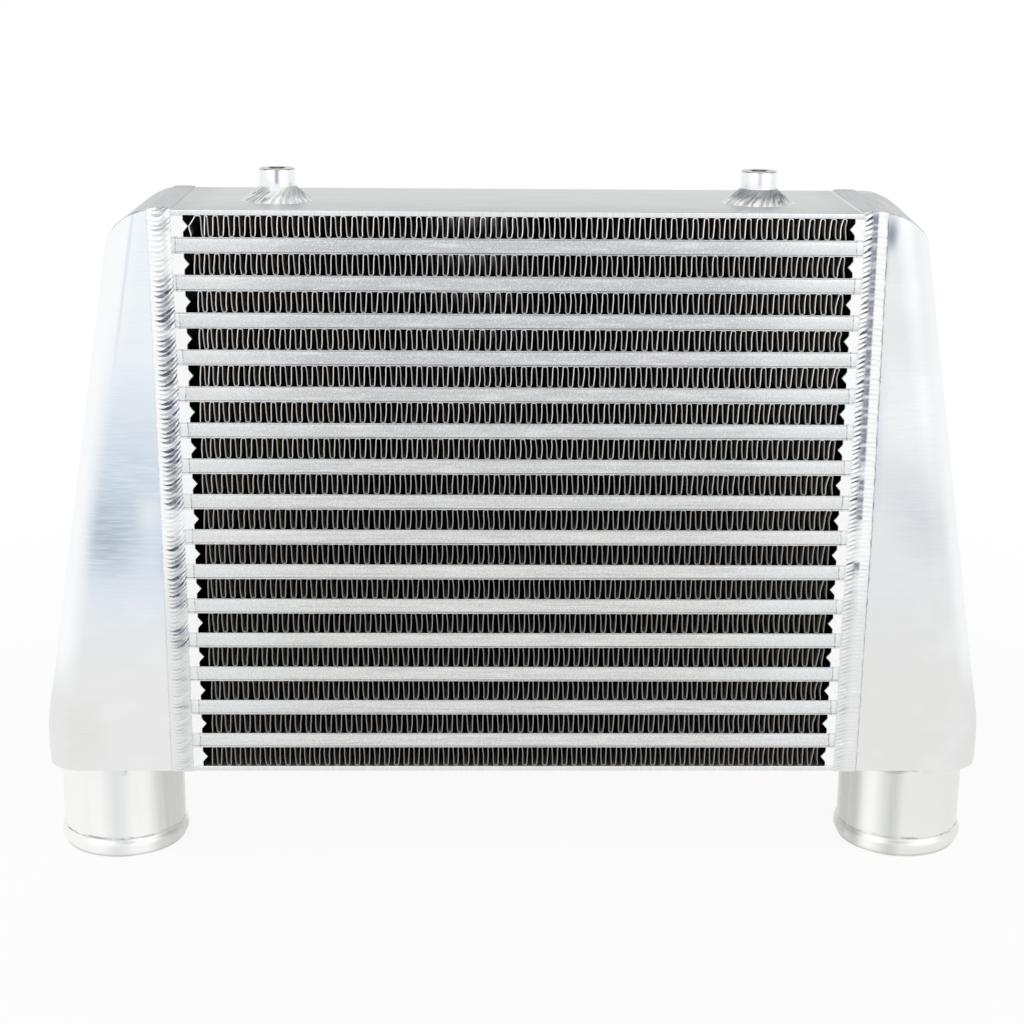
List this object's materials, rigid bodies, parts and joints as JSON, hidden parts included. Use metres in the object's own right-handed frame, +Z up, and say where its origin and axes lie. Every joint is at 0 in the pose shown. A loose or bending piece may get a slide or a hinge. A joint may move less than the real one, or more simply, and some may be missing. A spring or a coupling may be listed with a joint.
{
  "type": "intercooler",
  "caption": "Bar-and-plate air-to-air intercooler: finned core between two welded end tanks, with a beaded hose port under each tank and tapped bungs on top.",
  "frame": {"origin": "under the middle of the part, midway between its front and back, on the level of the two port ends that it stands on", "axes": "+X from the left tank to the right tank, +Y from the front face through the core to the back, +Z up towards the mounting bungs"},
  "size_m": [0.4804, 0.0932, 0.3541],
  "materials": {
    "tanks": "brushed",
    "ports": "satin, turned",
    "plates": "mill finish",
    "tube_bars": "mill finish, brazed",
    "end_bars": "ground",
    "fin_stock": "thin rolled sheet",
    "bungs": "turned",
    "welds": "rippled weld"
  },
  "bodies": {
    "root": {"air_fin_01": "fin_stock", "air_fin_02": "fin_stock", "air_fin_03": "fin_stock", "air_fin_04": "fin_stock", "air_fin_05": "fin_stock", "air_fin_06": "fin_stock", "air_fin_07": "fin_stock", "air_fin_08": "fin_stock", "air_fin_09": "fin_stock", "air_fin_10": "fin_stock", "air_fin_11": "fin_stock", "air_fin_12": "fin_stock", "air_fin_13": "fin_stock", "air_fin_14": "fin_stock", "air_fin_15": "fin_stock", "air_fin_16": "fin_stock", "bottom_plate": "plates", "bung_welds": "welds", "charge_tube_01": "tube_bars", "charge_tube_02": "tube_bars", "charge_tube_03": "tube_bars", "charge_tube_04": "tube_bars", "charge_tube_05": "tube_bars", "charge_tube_06": "tube_bars", "charge_tube_07": "tube_bars", "charge_tube_08": "tube_bars", "charge_tube_09": "tube_bars", "charge_tube_10": "tube_bars", "charge_tube_11": "tube_bars", "charge_tube_12": "tube_bars", "charge_tube_13": "tube_bars", "charge_tube_14": "tube_bars", "charge_tube_15": "tube_bars", "left_end_bars": "end_bars", "left_port": "ports", "left_seam_weld": "welds", "left_tank": "tanks", "mounting_bungs": "bungs", "port_welds": "welds", "right_end_bars": "end_bars", "right_port": "ports", "right_seam_weld": "welds", "right_tank": "tanks", "top_plate": "plates", "turbulator_01": "fin_stock", "turbulator_02": "fin_stock", "turbulator_03": "fin_stock", "turbulator_04": "fin_stock", "turbulator_05": "fin_stock", "turbulator_06": "fin_stock", "turbulator_07": "fin_stock", "turbulator_08": "fin_stock", "turbulator_09": "fin_stock", "turbulator_10": "fin_stock", "turbulator_11": "fin_stock", "turbulator_12": "fin_stock", "turbulator_13": "fin_stock", "turbulator_14": "fin_stock", "turbulator_15": "fin_stock"}
  },
  "joints": []
}
